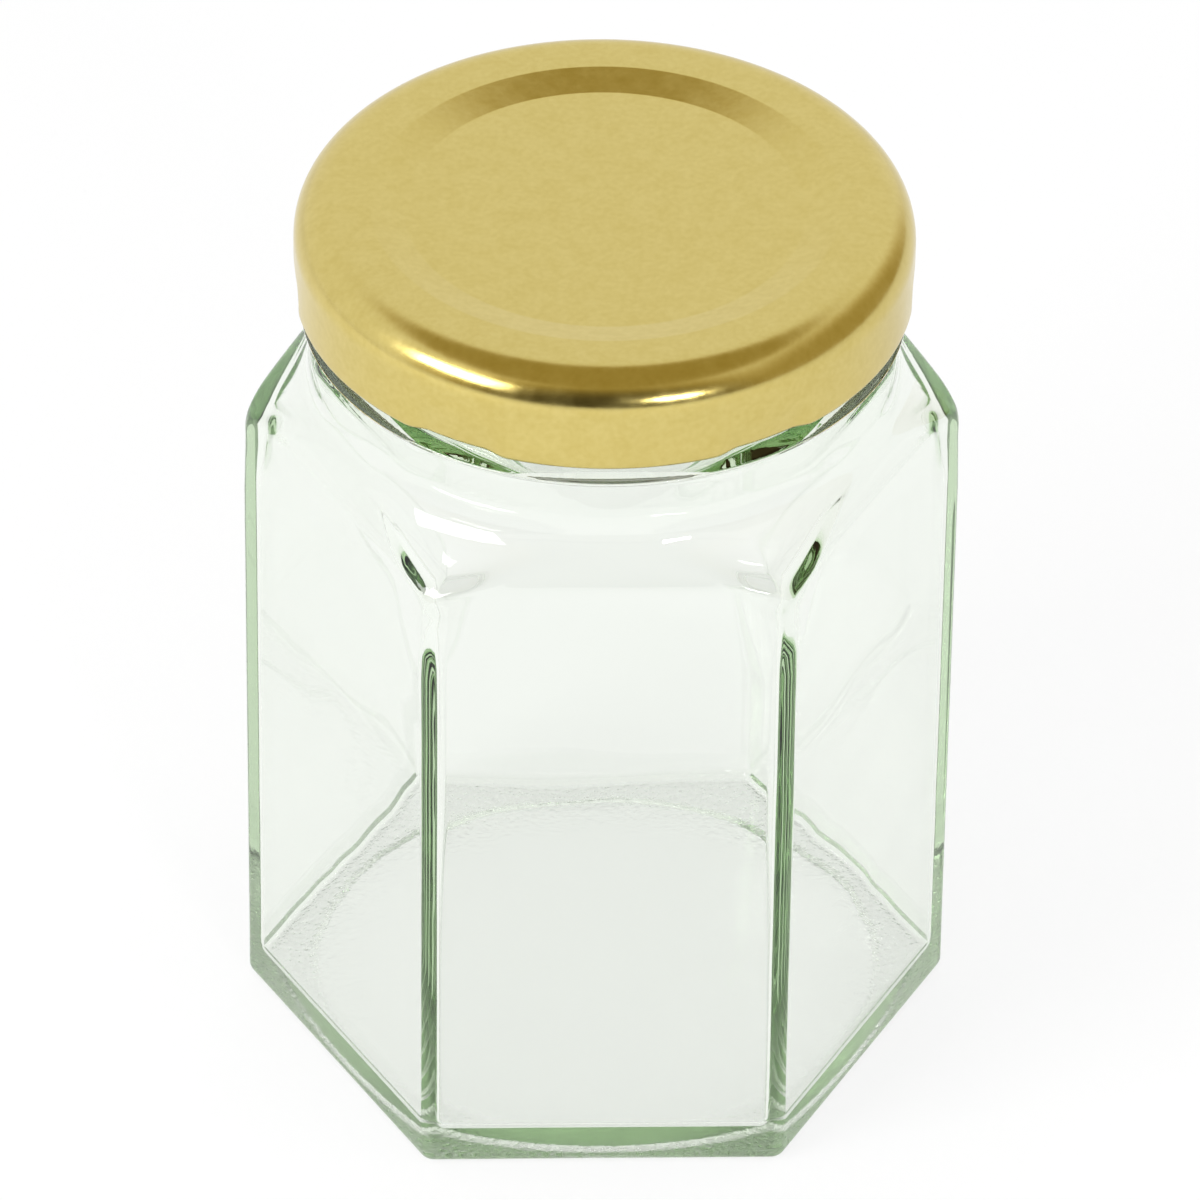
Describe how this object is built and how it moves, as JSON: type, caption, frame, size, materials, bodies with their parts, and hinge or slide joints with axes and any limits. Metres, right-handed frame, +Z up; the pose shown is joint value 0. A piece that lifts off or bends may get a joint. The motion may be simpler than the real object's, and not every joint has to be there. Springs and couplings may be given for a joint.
{
  "type": "hexagonal preserving jar with twist-off lid",
  "caption": "Clear glass preserving jar with flat hexagonal sides, rounded shoulder and round neck, empty, closed by a shallow gold metal twist-off lid.",
  "frame": {"origin": "centre of the base, on the plane that the jar stands on", "axes": "+Z up along the jar's axis; two of the flat sides face -Y and +Y, and two corners point along -X and +X"},
  "size_m": [0.0768, 0.067, 0.1047],
  "materials": {
    "clear_glass": "clear moulded soda-lime glass, pale green where it is thick",
    "gold_lacquer": "satin gold lacquer on tinplate",
    "sealing_compound": "soft pale sealing compound"
  },
  "bodies": {
    "root": {"glass_jar": "clear_glass", "lid": "gold_lacquer", "sealing_ring": "sealing_compound"}
  },
  "joints": []
}
